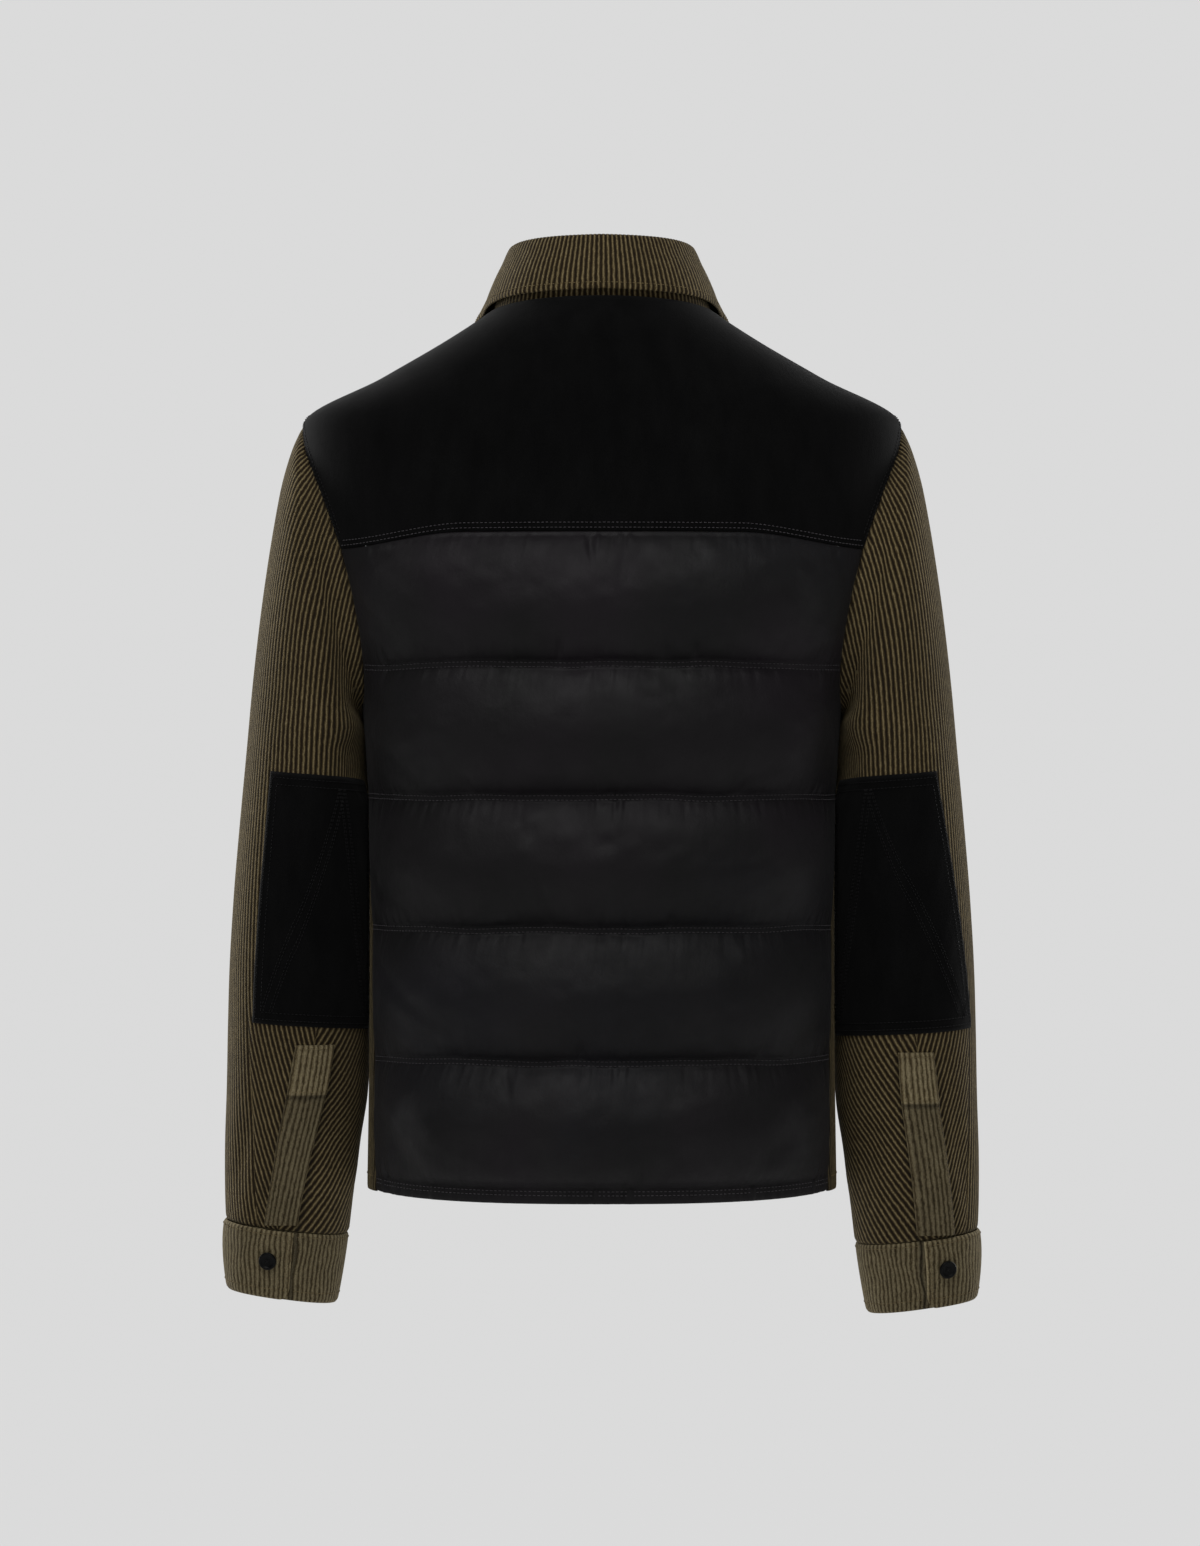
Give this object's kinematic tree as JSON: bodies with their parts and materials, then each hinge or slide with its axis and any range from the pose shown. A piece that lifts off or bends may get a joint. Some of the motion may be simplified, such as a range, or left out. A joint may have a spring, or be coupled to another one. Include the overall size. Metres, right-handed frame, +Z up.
{
  "type": "down jacket",
  "caption": "Shirt-cut jacket with a down-quilted nylon back, suede yoke and elbow patches, and corduroy sleeves, collar, cuffs and fronts, filled out as if worn.",
  "frame": {"origin": "middle of the neck opening, level with the top of the shoulders, where the wearer holds the jacket up", "axes": "+Z up; the front faces -Y and the back faces +Y; +X is the wearer's left"},
  "size_m": [0.5957, 0.2675, 0.8375],
  "materials": {
    "corduroy": "wide-wale cotton corduroy, olive brown",
    "suede": "black suede, matte",
    "quilted_nylon": "black down-filled nylon with a soft sheen",
    "button": "black with a raised rim"
  },
  "bodies": {
    "root": {"back_yoke": "suede", "back_quilted": "quilted_nylon", "front_left": "corduroy", "front_right": "corduroy", "front_placket": "corduroy", "collar_stand": "corduroy", "collar_leaf": "corduroy", "sleeve_left": "corduroy", "sleeve_right": "corduroy", "elbow_patch_left": "suede", "elbow_patch_right": "suede", "sleeve_placket_left": "corduroy", "sleeve_placket_right": "corduroy", "cuff_left": "corduroy", "cuff_right": "corduroy", "cuff_button_left": "button", "cuff_button_right": "button", "front_button_1": "button", "front_button_2": "button", "front_button_3": "button", "front_button_4": "button", "front_button_5": "button", "front_button_6": "button"}
  },
  "joints": []
}
